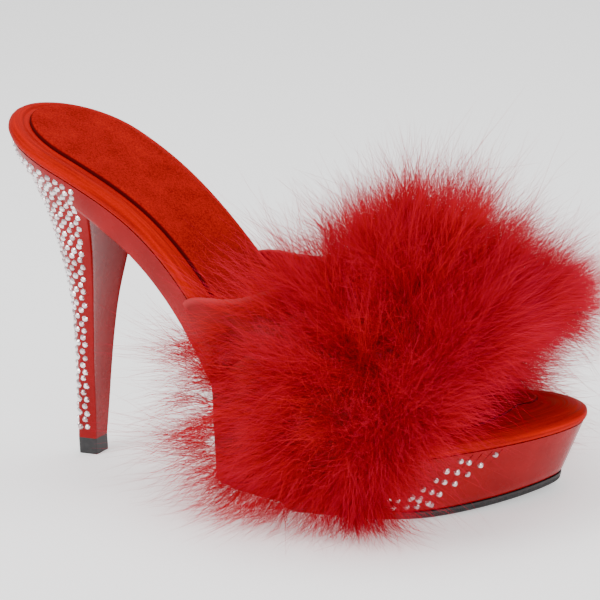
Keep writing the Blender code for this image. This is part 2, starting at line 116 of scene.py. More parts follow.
def splineThrough(knots, values):
    knots, values = np.array(knots, float), np.array(values, float)
    steps = np.diff(knots)
    slopes = np.diff(values) / steps
    count = len(knots)
    matrix, right = np.eye(count), np.zeros(count)
    for i in range(1, count - 1):
        matrix[i, i - 1 : i + 2] = steps[i - 1], 2 * (steps[i - 1] + steps[i]), steps[i]
        right[i] = 6 * (slopes[i] - slopes[i - 1])
    bends = np.linalg.solve(matrix, right)
    first = slopes[0] - steps[0] * bends[1] / 6
    last = slopes[-1] + steps[-1] * bends[-2] / 6

    def at(place):
        inside = np.clip(place, knots[0], knots[-1])
        i = np.clip(np.searchsorted(knots, inside) - 1, 0, count - 2)
        a = (knots[i + 1] - inside) / steps[i]
        b = 1 - a
        bend = ((a**3 - a) * bends[i] + (b**3 - b) * bends[i + 1]) * steps[i] ** 2 / 6
        before = np.minimum(place - knots[0], 0) * first
        beyond = np.maximum(place - knots[-1], 0) * last
        return a * values[i] + b * values[i + 1] + bend + before + beyond

    return at


def lerp(a, b, share):
    return a + (b - a) * share


alongOf = [row[0] for row in soleRows]
archAt, liftAt, swingAt, halfAt = (
    splineThrough(alongOf, [row[i] for row in soleRows]) for i in range(1, 5)
)


def shareOf(x):
    return (x + sole["overhang"]) / sole["length"]


def soleTop(x):
    share = shareOf(x)
    arch = (sole["seatHeight"] - sole["platformHeight"]) * archAt(share)
    return sole["platformHeight"] + arch + sole["toeRise"] * liftAt(share)


def soleNormal(x):
    step = sole["length"] / 400
    slope = (soleTop(x + step) - soleTop(x - step)) / (2 * step)
    length = np.hypot(slope, 1)
    return -slope / length, 1 / length


def springAt(x):
    late = np.maximum(0, (shareOf(x) - sole["springStart"]) / (1 - sole["springStart"]))
    return sole["toeSpring"] * late**2


def tuckAt(share):
    return np.interp(share, [row[0] for row in tuckRows], [row[1] for row in tuckRows])


def halfWidth(share):
    width = halfAt(share) * sole["ballWidth"]
    early = np.clip((sole["heelRound"] - share) / sole["heelRound"], 0, 1)
    late = np.clip((share - 1 + sole["toeRound"]) / sole["toeRound"], 0, 1)
    return width * np.sqrt(1 - early**2) * (1 - late**2) ** sole["toeFullness"]


def edgePoints(angle):
    share = (1 - np.cos(angle)) / 2
    side = np.where((angle >= 0) & (angle <= pi), -1.0, 1.0)
    x = share * sole["length"] - sole["overhang"]
    y = swingAt(share) * sole["ballWidth"] + side * halfWidth(share)
    return np.stack([x, y], -1)


def insetPoints(angle, inset):
    turn = edgePoints(angle + 0.002) - edgePoints(angle - 0.002)
    inward = np.stack([-turn[:, 1], turn[:, 0]], -1)
    inward /= np.linalg.norm(inward, axis=1)[:, None]
    return edgePoints(angle) + inward * np.broadcast_to(inset, len(angle))[:, None]


ringAngles = pi * np.arange(2 * sole["stations"]) / sole["stations"]
ringShares = (1 - np.cos(ringAngles)) / 2


def raisedRing(inset, height):
    p = insetPoints(ringAngles, inset)
    nx, nz = soleNormal(p[:, 0])
    return np.stack([p[:, 0] + nx * height, p[:, 1], soleTop(p[:, 0]) + nz * height], -1)


def setAttribute(mesh, name, values):
    values = np.asarray(values, np.float32)
    kind = "FLOAT" if values.ndim == 1 else "FLOAT_VECTOR"
    attribute = mesh.attributes.new(name, kind, "POINT")
    attribute.data.foreach_set("value" if kind == "FLOAT" else "vector", values.ravel())


def meshObject(name, points, faces, material=None, smooth=40, **attributes):
    mesh = bpy.data.meshes.new(name)
    mesh.from_pydata(np.asarray(points).tolist(), [], faces)
    for key, values in attributes.items():
        setAttribute(mesh, key, values)
    mesh.validate()
    mesh.shade_smooth()
    mesh.set_sharp_from_angle(angle=radians(smooth))
    if material:
        mesh.materials.append(material)
    item = bpy.data.objects.new(name, mesh)
    bpy.context.scene.collection.objects.link(item)
    return item


def loftFaces(rings, count, closed=True):
    faces = []
    for k in range(rings - 1):
        for i in range(count if closed else count - 1):
            j = (i + 1) % count
            a, b = k * count, (k + 1) * count
            faces.append((a + i, a + j, b + j, b + i))
    return faces


def ladderFaces(start, count, flip):
    faces = []
    for i in range(count // 2):
        corners = [i, i + 1, (count - i - 1) % count, (count - i) % count]
        corners = [start + c for c in dict.fromkeys(corners)]
        faces.append(tuple(corners[::-1] if flip else corners))
    return faces


def loftSolid(name, rings, material=None, smooth=40):
    # Rings from the lowest to the highest; place holds metres along and round them.
    rings = np.array(rings)
    count = rings.shape[1]
    faces = loftFaces(len(rings), count)
    faces += ladderFaces(0, count, True) + ladderFaces((len(rings) - 1) * count, count, False)
    round_ = np.linalg.norm(np.diff(rings, axis=0), axis=2).mean(1)
    place = np.zeros(rings.shape)
    place[..., 0] = np.linalg.norm(np.diff(rings, axis=1, append=rings[:, :1]), axis=2).cumsum(1)
    place[..., 1] = np.concatenate([[0], round_.cumsum()])[:, None]
    points, place = rings.reshape(-1, 3), place.reshape(-1, 3)
    return meshObject(name, points, faces, material, smooth, place=place)


class Wire:
    # One output of a material's node, with arithmetic that adds Math nodes.
    def __init__(self, tree, socket):
        self.tree, self.socket = tree, socket

    def put(self, kind, inputs, settings=(), out=0):
        node = self.tree.nodes.new(kind)
        for key, value in dict(settings).items():
            setattr(node, key, value)
        for key, value in inputs.items():
            if isinstance(value, Wire):
                self.tree.links.new(value.socket, node.inputs[key])
            else:
                node.inputs[key].default_value = value
        return Wire(self.tree, node.outputs[out])

    def maths(self, operation, *values):
        inputs = dict(enumerate(values))
        return self.put("ShaderNodeMath", inputs, {"operation": operation})

    def __add__(self, other):
        return self.maths("ADD", self, other)

    def __radd__(self, other):
        return self.maths("ADD", other, self)

    def __sub__(self, other):
        return self.maths("SUBTRACT", self, other)

    def __rsub__(self, other):
        return self.maths("SUBTRACT", other, self)

    def __mul__(self, other):
        return self.maths("MULTIPLY", self, other)

    def __rmul__(self, other):
        return self.maths("MULTIPLY", other, self)

    def power(self, other):
        return self.maths("POWER", self, other)

    def span(self, low, high, newLow=0.0, newHigh=1.0):
        inputs = {0: self, 1: low, 2: high, 3: newLow, 4: newHigh}
        return self.put("ShaderNodeMapRange", inputs, {"clamp": True})

    def mix(self, first, second):
        inputs = {0: self, 6: paint(first), 7: paint(second)}
        return self.put("ShaderNodeMix", inputs, {"data_type": "RGBA"}, 2)

    def noise(self, scale, detail=3.0, roughness=0.55, stretch=None):
        spot = self
        if stretch:
            inputs = {0: self, 1: stretch}
            spot = self.put("ShaderNodeVectorMath", inputs, {"operation": "MULTIPLY"})
        inputs = {"Vector": spot, "Scale": scale, "Detail": detail, "Roughness": roughness}
        return self.put("ShaderNodeTexNoise", inputs)

    def bump(self, distance, strength=1.0, normal=None):
        inputs = {"Height": self, "Distance": distance, "Strength": strength}
        if normal:
            inputs["Normal"] = normal
        return self.put("ShaderNodeBump", inputs)


def paint(colour):
    return colour if isinstance(colour, Wire) else (*colour, 1.0)


def newMaterial(name):
    material = bpy.data.materials.new(name)
    material.use_nodes = True
    tree = material.node_tree
    shader = tree.nodes["Principled BSDF"]
    start = Wire(tree, None)
    coords = start.put("ShaderNodeTexCoord", {}, out=3)

    def use(**inputs):
        for key, value in inputs.items():
            socket = shader.inputs[key.replace("_", " ")]
            if isinstance(value, Wire):
                tree.links.new(value.socket, socket)
            else:
                socket.default_value = value

    return material, coords, use


def attributeWire(coords, name, out=2):
    return coords.put("ShaderNodeAttribute", {}, {"attribute_name": name}, out)


def linear(red, green, blue):
    return tuple((v / 255 + 0.055) ** 2.4 / 1.055**2.4 if v > 10 else v / 3294 for v in (red, green, blue))


# Glossy crimson moulding
unitLook = {
    "colour": linear(150, 14, 20),
    "deep": linear(134, 9, 14),
    "roughness": 0.24,
    "coat": 0.06,
}
unitPaint, coords, use = newMaterial("mouldedRed")
cloud = coords.noise(60, 2)
use(
    Base_Color=cloud.span(0.35, 0.65).mix(unitLook["deep"], unitLook["colour"]),
    Roughness=coords.noise(220, 3).span(0.3, 0.7, unitLook["roughness"], unitLook["roughness"] + 0.06),
    Coat_Weight=unitLook["coat"],
    Coat_Roughness=0.07,
    Specular_IOR_Level=0.10,
    Normal=coords.noise(350, 2).bump(0.00006),
)

# Satin suede of the wrapped rim, with sheen painted into its colour as lengthwise streaks and painted
# glints on the nap
wrapLook = {"colour": linear(186, 14, 4), "deep": linear(128, 5, 3), "napGlint": linear(232, 48, 10)}
wrapPaint, coords, use = newMaterial("wrappedRed")
place = attributeWire(coords, "place", 1)
# painted sheen: the colour runs lighter and darker in streaks along the rim
sheenStreak = place.noise(1, 3, 0.6, (30, 900, 1))
nap = coords.noise(2600, 3)
base = sheenStreak.span(0.3, 0.72).mix(wrapLook["deep"], wrapLook["colour"])
use(
    # painted glints: brighter orange flecks where the nap stands high
    Base_Color=(nap.span(0.45, 0.8) * 0.25).mix(base, wrapLook["napGlint"]),
    Roughness=sheenStreak.span(0.3, 0.7, 0.42, 0.6),
    Normal=nap.bump(0.00008, 0.5, place.noise(1, 2, 0.5, (60, 1500, 1)).bump(0.00012)),
    Specular_IOR_Level=0.04,
    Sheen_Weight=0.03,
    Sheen_Roughness=0.4,
    Sheen_Tint=(*linear(255, 60, 20), 1.0),
)

# Napped sock cover; its turned edge is darkened, partly the raw edge's own colour and partly painted shade
# in the channel beside the rim
sockLook = {"colour": linear(172, 20, 12), "deep": linear(118, 8, 6), "cut": linear(70, 4, 6)}
sockPaint, coords, use = newMaterial("sockRed")
grain = coords.noise(1500, 4, 0.7)
patch = coords.noise(120, 3)
base = (grain * 0.75 + patch * 0.25).span(0.38, 0.62).mix(sockLook["deep"], sockLook["colour"])
# dark turned edge: raw edge colour and painted shade
cut = attributeWire(coords, "cutEdgeShade")
use(
    Base_Color=cut.mix(base, sockLook["cut"]),
    Roughness=0.92,
    Normal=grain.bump(0.00022, 0.8),
    Specular_IOR_Level=0.05,
    Sheen_Weight=0.04,
    Sheen_Roughness=0.5,
    Sheen_Tint=(*linear(255, 50, 30), 1.0),
)

# Satin leather of the vamp, with a painted highlight along the collar's rounded edge
vampLook = {"colour": linear(156, 18, 24), "deep": linear(132, 10, 15), "edge": linear(190, 60, 64)}
vampPaint, coords, use = newMaterial("satinRed")
worn = coords.noise(90, 3)
pebble = coords.noise(1100, 3, 0.6)
# painted highlight: the collar's rounded edge is lighter pink
edge = attributeWire(coords, "edge")
base = worn.span(0.35, 0.65).mix(vampLook["deep"], vampLook["colour"])
use(
    Base_Color=edge.mix(base, vampLook["edge"]),
    Roughness=pebble.span(0.3, 0.7, 0.36, 0.46),
    Specular_IOR_Level=0.10,
    Normal=pebble.bump(0.00006, 0.6, worn.bump(0.0004, 0.4)),
)

# Black tread rubber
rubberPaint, coords, use = newMaterial("treadRubber")
dust = coords.noise(500, 3)
use(
    Base_Color=dust.span(0.4, 0.75).mix((0.010, 0.010, 0.011), (0.030, 0.030, 0.031)),
    Roughness=dust.span(0.3, 0.7, 0.45, 0.6),
    Normal=coords.noise(2200, 2).bump(0.00005),
)

# Foiled glass stones
stonePaint, coords, use = newMaterial("stoneGlass")
tint = attributeWire(coords, "tint")
use(
    Base_Color=tint.mix((0.95, 0.90, 0.91), (0.55, 0.40, 0.42)),
    Metallic=0.85,
    Roughness=0.09,
    Coat_Weight=0.6,
    Coat_Roughness=0.02,
)

# Down barbs: attribute barb runs from root to tip, tint varies from barb to barb
furLook = {"root": linear(176, 2, 8), "middle": linear(208, 6, 16), "tip": linear(198, 16, 66)}
furPaint, coords, use = newMaterial("featherRed")
reach, tint = attributeWire(coords, "barb"), attributeWire(coords, "tint")
lower = reach.span(0.0, 0.55).mix(furLook["root"], furLook["middle"])
full = reach.span(0.5, 1.0).mix(lower, furLook["tip"])
shade = (tint * 0.35).mix(full, furLook["root"])
use(Base_Color=shade, Roughness=0.7, Specular_IOR_Level=0.15)

# Opaque core inside the feathers: its darker red is painted shade of the fluff's depths
coreShadePaint, coords, use = newMaterial("featherCoreShade")
flow = coords.noise(160, 5, 0.7)
use(
    Base_Color=flow.span(0.3, 0.7).mix(linear(120, 0, 6), linear(176, 4, 14)),
    Roughness=0.9,
    Normal=coords.noise(900, 4, 0.7).bump(0.0008),
)
print("materials made")


def replaceWith(item, node):
    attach(item, "root")
    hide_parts(node)


# Moulded unit: shank and platform in one loft
unit = {"falls": [0, 0.06, 0.15, 0.28, 0.42, 0.56, 0.7, 0.84, 0.94], "edge": 0.0005}


def footRing(inset):
    p = insetPoints(ringAngles, tuckAt(ringShares) + inset)
    x = p[:, 0]
    nx, nz = soleNormal(x)
    blend = np.clip((ringShares - 0.50) / 0.08, 0, 1)
    lowX = x - nx * sole["thickness"] * (1 - blend)
    level = springAt(lowX) + sole["treadLevel"]
    face = level + np.maximum(0, sole["rearFace"] - lowX) * sole["rearSlope"]
    z = np.minimum(soleTop(x) - nz * sole["thickness"], face)
    z = np.where(lowX > sole["rearFace"], level, np.maximum(z, level))
    return np.stack([lowX, p[:, 1], z], -1)


topEdge = insetPoints(ringAngles, 0)
topRing = np.stack([topEdge[:, 0], topEdge[:, 1], soleTop(topEdge[:, 0])], -1)
footEdge = footRing(0)
rings = [footRing(unit["edge"])]
for fall in unit["falls"][::-1]:
    ring = lerp(topRing, footEdge, fall)
    ring[:, 1] = insetPoints(ringAngles, tuckAt(ringShares) * (0.6 * fall + 0.4 * fall**2))[:, 1]
    rings.append(ring)
unitBody = loftSolid("unitBody", rings, unitPaint, 38)

# Heel column, let into the unit's seat
heel = {
    "tip": (0.0042, 0.0042, 0.0039),
    "seat": (0.0183, 0.0210, 0.0250),
    "foot": 0.0059,
    "sink": 0.0015,
    "corner": 0.07,
    "cornerCut": 0.3,
    "hollow": 0.13,
    "backShares": (0.20, 0.62),
    "rises": 40,
    "arc": 36,
}
# rise, back, breast, half
heelRows = [
    (0.00, 0.000, 0.000, 0.00),
    (0.10, -0.060, 0.070, 0.04),
    (0.25, -0.140, 0.155, 0.11),
    (0.40, -0.165, 0.260, 0.18),
    (0.52, -0.130, 0.365, 0.26),
    (0.62, -0.025, 0.475, 0.36),
    (0.72, 0.140, 0.580, 0.47),
    (0.82, 0.385, 0.670, 0.60),
    (0.91, 0.670, 0.790, 0.78),
    (1.00, 1.000, 1.000, 1.00),
]
heelAt = [splineThrough([r[0] for r in heelRows], [r[i] for r in heelRows]) for i in (1, 2, 3)]


def heelRing(rise):
    back, breast, half = (
        lerp(low, high, float(at(rise))) for low, high, at in zip(heel["tip"], heel["seat"], heelAt)
    )
    corner = heel["corner"] * half
    hollow = heel["hollow"] * (half - heel["tip"][2])
    depth = min(lerp(*heel["backShares"], min(1.0, 2 * rise)) * (back + breast), half)
    turns = np.linspace(0, pi, heel["arc"] + 1)
    arc = np.stack([depth - back - depth * np.sin(turns), -half * np.cos(turns)], -1)
    cut = heel["cornerCut"] * corner
    near = [(breast, -half + corner), (breast - cut, -half + cut), (breast - corner, -half)]
    far = [(x, -y) for x, y in near[::-1]]
    across = np.linspace(0.86, -0.86, 13)
    breastFace = np.stack([breast - hollow * (1 - across**2), across * half], -1)
    flat = np.concatenate([near, arc, far, breastFace])
    z = lerp(heel["foot"], soleTop(flat[:, 0]) - heel["sink"], rise)
    return np.concatenate([flat, z[:, None]], 1)


heelRings = np.array([heelRing(r) for r in np.linspace(0, 1, heel["rises"])])
count = heelRings.shape[1]
faces = loftFaces(len(heelRings), count)
faces += [tuple(range(count))[::-1], tuple(range(len(faces), len(faces) + count))]
heelForm = meshObject("heelForm", heelRings.reshape(-1, 3), faces)

# Grooves in groups at both ends of the platform's side panel
groove = {
    "width": 0.0008,
    "depth": 0.0008,
    "pitch": 0.0024,
    "lean": 0.0145,
    "rear": 0.0900,
    "front": 0.1712,
    "number": 4,
    "outside": 0.002,
}


def sidePoint(x, side, fall):
    share = shareOf(x)
    half = halfWidth(share) - tuckAt(share) * (0.6 * fall + 0.4 * fall**2)
    z = lerp(soleTop(x), springAt(x) + sole["treadLevel"], fall)
    return Vector((x, swingAt(share) * sole["ballWidth"] + side * half, z))


grooveForms = []
for side in (-1, 1):
    for start, lean in ((groove["rear"], 1), (groove["front"], -1)):
        for i in range(groove["number"]):
            points = []
            for fall in np.linspace(0.04, 0.93, 6):
                x = start + lean * (i * groove["pitch"] + groove["lean"] * fall)
                here = sidePoint(x, side, fall)
                run = (sidePoint(x + 0.001, side, fall) - here).normalized()
                out = Vector((run.y, -run.x, 0)).normalized() * -side
                for w, d in ((0, -groove["depth"]), (1, groove["outside"]), (-1, groove["outside"])):
                    wide = groove["width"] * (2 if d > 0 else 1)
                    points.append(here + run * w * wide / 2 + out * d)
            faces = loftFaces(6, 3) + [(0, 1, 2), (17, 16, 15)]
            form = meshObject("grooveForm", points, faces)
            grooveForms.append(form)


def outward(item):
    bpy.context.view_layer.objects.active = item
    for other in bpy.data.objects:
        other.select_set(other == item)
    bpy.ops.object.mode_set(mode="EDIT")
    bpy.ops.mesh.select_all(action="SELECT")
    bpy.ops.mesh.normals_make_consistent(inside=False)
    bpy.ops.object.mode_set(mode="OBJECT")


def bake(item):
    graph = bpy.context.evaluated_depsgraph_get()
    item.data = bpy.data.meshes.new_from_object(item.evaluated_get(graph))
    item.modifiers.clear()


for form in [unitBody, heelForm] + grooveForms:
    outward(form)
for other, operation in [(heelForm, "UNION")] + [(g, "DIFFERENCE") for g in grooveForms]:
    cut = unitBody.modifiers.new("cut", "BOOLEAN")
    cut.operation = operation
    cut.object = other
bake(unitBody)
for form in [heelForm] + grooveForms:
    bpy.data.objects.remove(form)
unitBody.data.shade_smooth()
unitBody.data.set_sharp_from_angle(angle=radians(32))
unitTree = BVHTree.FromPolygons(
    [v.co for v in unitBody.data.vertices], [p.vertices for p in unitBody.data.polygons]
)
replaceWith(unitBody, "unit_sole")
print("unit made", len(unitBody.data.polygons))

# Wrapped rim: a roll round the edge and a channel beside the sock pad
rim = {
    "height": 0.0054,
    "bulge": 0.0012,
    "lift": 0.0001,
    "channel": 0.0020,
    "capStart": 0.80,
    "soften": 0.18,
    "softAt": 0.0006,
    "softWidth": 0.0016,
}
# inset, height as a share
rimProfile = [
    (0.0010, 0.00),
    (0.0002, 0.02),
    (-0.0006, 0.12),
    (-0.0011, 0.26),
    (-0.0012, 0.42),
    (-0.0011, 0.58),
    (-0.0007, 0.74),
    (0.0000, 0.88),
    (0.0009, 0.97),
    (0.0018, 1.00),
    (0.0026, 0.98),
    (0.0032, 0.92),
    (0.0036, 0.90),
    (0.0041, 0.93),
    (0.0048, 0.97),
    (0.0056, 0.98),
]
toeCap = np.clip((ringShares - rim["capStart"]) / (1 - rim["capStart"]), 0, 1) ** 0.7


def rimShare(inset, share):
    # Towards the toe the channel fills up and the top rounds over more softly.
    soft = share
    if share > 0.6:
        away = (inset - rim["softAt"]) / rim["softWidth"]
        soft = share - rim["soften"] * toeCap * np.exp(-(away**2))
    if inset <= rim["channel"]:
        return soft
    top = np.clip((inset + 0.0008) / 0.0056, 0, 1)
    return np.maximum(lerp(share, 0.80 + 0.24 * top**0.8, toeCap), soft)


rings = [
    raisedRing(inset, rim["lift"] + rimShare(inset, share) * rim["height"])
    for inset, share in rimProfile
]
for inset in (0.0070, 0.0100, 0.0150):
    crown = 0.98 + 0.16 * toeCap * np.clip((inset - 0.003) / 0.010, 0, 1)
    rings.append(raisedRing(inset, rim["lift"] + lerp(0.97, crown, toeCap) * rim["height"]))
rimWrap = loftSolid("rimWrap", rings, wrapPaint, 70)
replaceWith(rimWrap, "footbed")

# Sock pad with a turned edge
pad = {"inset": 0.0052, "toeInset": 0.0170, "toeStart": 0.82}
toeward = np.clip((ringShares - pad["toeStart"]) / (1 - pad["toeStart"]), 0, 1) ** 2
padInset = pad["inset"] + pad["toeInset"] * toeward
base = rim["height"] - 0.0002
# inset, height
padProfile = [
    (0.0, 0.0),
    (-0.0001, 0.0006),
    (0.0001, 0.0012),
    (0.0005, 0.0016),
    (0.0012, 0.0018),
    (0.0024, 0.0018),
]
rings = [raisedRing(padInset + inset, base + height) for inset, height in padProfile]
sockPad = loftSolid("sockPad", rings, sockPaint, 60)
# the three lowest rings, the turned edge, take the dark colour: raw edge and painted shade
onEdge = np.zeros((len(rings), len(ringAngles)))
onEdge[0:3] = 1.0
setAttribute(sockPad.data, "cutEdgeShade", onEdge.ravel())
replaceWith(sockPad, "sock_pad")
print("rim and sock pad made")

# Vamp
vamp = {
    "wall": 0.0016,
    "lift": 0.0003,
    "collarNear": 0.0610,
    "collarFar": 0.0575,
    "collarCrown": 0.1050,
    "frontNear": 0.1360,
    "frontFar": 0.1420,
    "frontCrown": 0.1540,
    "instep": 0.0612,
    "curve": 1.15,
    "hem": 0.0032,
    "hemRise": 0.00022,
    "edgeRound": 0.0008,
    "across": 110,
    "forth": 56,
}
# along, height of the ridge as a share of the instep's
ridgeRows = [
    (0.35, 0.88),
    (0.45, 0.95),
    (0.53, 1.00),
    (0.61, 0.98),
    (0.72, 0.77),
    (0.84, 0.56),
    (1.0, 0.40),
]
ridgeAt = splineThrough([r[0] for r in ridgeRows], [r[1] for r in ridgeRows])
# across, forth, width, length, depth: troughs (negative) and ridges of the main creases
creases = [
    (-0.74, 0.10, 0.050, 0.22, -0.0005),
    (-0.66, 0.16, 0.050, 0.22, 0.0004),
    (-0.50, 0.08, 0.045, 0.18, -0.0004),
    (0.52, 0.12, 0.050, 0.20, -0.0004),
    (0.62, 0.18, 0.050, 0.22, 0.0003),
]


def vampPoints(across, forth):
    side = np.where(across < 0, -1.0, 1.0)
    lean = np.abs(across) * pi / 2
    rise = np.maximum(np.cos(lean), 0)
    collar = np.where(side < 0, vamp["collarNear"], vamp["collarFar"])
    front = np.where(side < 0, vamp["frontNear"], vamp["frontFar"])
    rearX = lerp(collar, vamp["collarCrown"], rise ** vamp["curve"])
    frontX = lerp(front, vamp["frontCrown"], rise)
    x = lerp(rearX, frontX, forth)
    share = shareOf(x)
    reach = halfWidth(share) + rim["bulge"] + vamp["lift"]
    y = swingAt(share) * sole["ballWidth"] + side * reach * np.sin(lean)
    z = soleTop(x) + vamp["lift"] + ridgeAt(share) * vamp["instep"] * rise
    return np.stack([x, y, z], -1)


def unitLength(vectors):
    return vectors / np.linalg.norm(vectors, axis=-1)[..., None]


def vampNormals(across, forth):
    step = 0.01
    far, near = np.minimum(across + step, 1), np.maximum(across - step, -1)
    late, early = np.minimum(forth + step, 1), np.maximum(forth - step, 0)
    run = vampPoints(far, forth) - vampPoints(near, forth)
    ahead = vampPoints(across, late) - vampPoints(across, early)
    return unitLength(np.cross(ahead, run))


def roundedEdge(start, end, ahead):
    # Three points of a half round from one side of the wall to the other
    ahead = ahead / np.linalg.norm(ahead) * vamp["edgeRound"]
    middle, reach = (start + end) / 2, (start - end) / 2
    turns = [radians(turn) for turn in (45, 90, 135)]
    return [middle + reach * cos(turn) + ahead * sin(turn) for turn in turns]


forth = np.linspace(0, 1, vamp["forth"] + 1)
vampRings, collarHighlight = [], []
for across in np.linspace(-1, 1, vamp["across"] + 1):
    many = np.full(len(forth), across)
    inner = vampPoints(many, forth)
    normal = vampNormals(many, forth)
    fold = np.zeros(len(forth))
    for at, start, wide, long, deep in creases:
        away = ((across - at) / wide) ** 2 + ((forth - start) / long) ** 2
        fold += deep * np.exp(-away)
    fromEdge = np.minimum(forth, 1 - forth) * np.linalg.norm(inner[-1] - inner[0])
    hem = vamp["hemRise"] * np.clip((vamp["hem"] - fromEdge) / 0.0006, 0, 1)
    outer = inner + normal * (vamp["wall"] + fold + hem)[:, None]
    ring = list(inner) + roundedEdge(inner[-1], outer[-1], inner[-1] - inner[-2])
    ring += list(outer[::-1]) + roundedEdge(outer[0], inner[0], inner[0] - inner[1])
    vampRings.append(ring)
    # painted highlight on the collar's rounded edge and the wall's last point there
    onEdge = np.zeros(len(ring))
    onEdge[len(forth) + 3 + len(forth) - 1 :] = 0.7
    collarHighlight.append(onEdge)
vampRings = np.array(vampRings)
count = vampRings.shape[1]
faces = loftFaces(len(vampRings), count)
last = (len(vampRings) - 1) * count
faces += [tuple(range(count))[::-1], tuple(range(last, last + count))]
vampStrap = meshObject(
    "vampStrap", vampRings.reshape(-1, 3), faces, vampPaint, 60, edge=np.array(collarHighlight).ravel()
)
outward(vampStrap)
replaceWith(vampStrap, "vamp_upper")
print("vamp made")

# Ribbed outsole
tread = {
    "thickness": 0.0024,
    "corner": 0.0090,
    "pitch": 0.00078,
    "rib": 0.00028,
    "stations": 520,
}
start = acos(1 - 2 * shareOf(sole["rearFace"]))


def treadRing(inset, height, ribs=0.0):
    sides = []
    for side in (1, -1):
        angle = lerp(start, pi, (1 - np.cos(pi * np.linspace(0, 1, tread["stations"] + 1))) / 2)
        angle = lerp(angle, lerp(start, pi, np.linspace(0, 1, tread["stations"] + 1)), 0.6)
        share = (1 - np.cos(angle)) / 2
        p = insetPoints(side * angle % (2 * pi), tuckAt(share) + inset)
        run = np.concatenate([[0], np.linalg.norm(np.diff(p, axis=0), axis=1).cumsum()])
        wave = 0.5 + 0.5 * np.cos(2 * pi * run / tread["pitch"])
        p = insetPoints(side * angle % (2 * pi), tuckAt(share) + inset + ribs * wave)
        ahead = np.clip((p[:, 0] - sole["rearFace"]) / tread["corner"], 0, 1)
        y = p[:, 1] + side * tread["corner"] * (1 - np.sqrt(1 - (1 - ahead) ** 2))
        sides.append(np.stack([p[:, 0], y, springAt(p[:, 0]) + height], -1))
    near, far = sides
    rear = (near[:1] + far[:1]) / 2
    return np.concatenate([rear, near, far[-2::-1]])


rings = [
    treadRing(0.0008, 0.0, tread["rib"]),
    treadRing(0.0004, 0.0004, tread["rib"]),
    treadRing(0.0004, 0.0013, tread["rib"]),
    treadRing(0.0001, 0.0015),
    treadRing(0.0000, tread["thickness"]),
]
outsoleTread = loftSolid("outsoleTread", rings, rubberPaint, 45)
outward(outsoleTread)
replaceWith(outsoleTread, "outsole")

# Top piece of the heel, with the outline of the heel's lower end
tipRings = []
for share in (0, 1):
    ring = heelRing(0)
    ring[:, 2] = share * heel["foot"]
    tipRings.append(ring)
heelTip = loftSolid("heelTip", tipRings, rubberPaint, 30)
outward(heelTip)
replaceWith(heelTip, "heel_top_piece")
print("outsole made")

# Stones: a cut crown on a low girdle
stone = {
    "radius": 0.00118,
    "height": 0.0009,
    "sunk": 0.0002,
    "pitch": 0.00335,
    "rowShare": 0.88,
    "strip": 0.0022,
    "firstRise": 0.04,
    "lastRise": 0.99,
    "seed": 5,
}


def stoneForm():
    levels = [(1.0, -0.4, 0.0), (1.0, 0.25, 0.0), (0.86, 0.60, 0.5), (0.56, 1.0, 0.0)]
    points = []
    for radius, height, turn in levels:
        for k in range(8):
            a = 2 * pi * (k + turn) / 8
            points.append((radius * cos(a), radius * sin(a), height))
    faces = []
    for k in range(8):
        j = (k + 1) % 8
        faces.append((k, j, 8 + j, 8 + k))
        faces.append((8 + k, 8 + j, 16 + k))
        faces.append((8 + j, 16 + j, 16 + k))
        faces.append((16 + k, 16 + j, 24 + j))
        faces.append((16 + k, 24 + j, 24 + k))
    faces.append(tuple(range(24, 32)))
    faces.append(tuple(range(8))[::-1])
    return np.array(points), faces


def makeStones(name, spots, random):
    form, faces = stoneForm()
    points, allFaces, tints = [], [], []
    for spot, normal in spots:
        across = normal.cross(Vector((0, 0, 1))).normalized()
        over = normal.cross(across)
        turn = random.uniform(0, pi)
        a = across * cos(turn) + over * sin(turn)
        b = normal.cross(a)
        size = stone["radius"] * random.uniform(0.92, 1.06)
        axes = np.array([a * size, b * size, normal * stone["height"]])
        start = len(points)
        points.extend((form @ axes + np.array(spot - normal * stone["sunk"])).tolist())
        allFaces += [tuple(start + k for k in face) for face in faces]
        tints += [random.uniform(0, 1) ** 2] * len(form)
    item = meshObject(name, points, allFaces, stonePaint, 1, tint=tints)
    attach(item, "root")
    return item


random = np.random.default_rng(stone["seed"])
spots = []
rise, row = stone["firstRise"], 0
while rise < stone["lastRise"]:
    ring = heelRing(rise)
    ring = ring[2 : heel["arc"] + 5]
    steps = np.linalg.norm(np.diff(ring, axis=0), axis=1)
    run = np.concatenate([[0], steps.cumsum()])
    free = run[-1] - 2 * stone["strip"]
    number = max(4, int(free / stone["pitch"]) + (row + 1) % 2)
    for k in range(number):
        s = stone["strip"] + free * (k + (0.25 if row % 2 else 0.0) + 0.25) / (number - 0.25)
        s += random.uniform(-1, 1) * 0.00025
        if not stone["strip"] * 0.6 < s < run[-1] - stone["strip"] * 0.6:
            continue
        p = Vector([float(np.interp(s, run, ring[:, i])) for i in range(3)])
        q = Vector([float(np.interp(s + 0.0005, run, ring[:, i])) for i in range(3)])
        o = Vector([float(np.interp(s - 0.0005, run, ring[:, i])) for i in range(3)])
        along = q - o
        out = Vector((-along.y, along.x, 0)).normalized()
        hit, normal, _, _ = unitTree.ray_cast(p + out * 0.012, -out)
        if hit and (hit - p).length < 0.006 and abs(normal.z) < 0.8:
            hit.z += random.uniform(-1, 1) * 0.0002
            spots.append((hit, normal))
    row += 1
    rise += stone["pitch"] * stone["rowShare"] / (sole["seatHeight"] - heel["foot"])
heelStones = makeStones("heelStones", spots, random)
print("heel stones", len(spots))

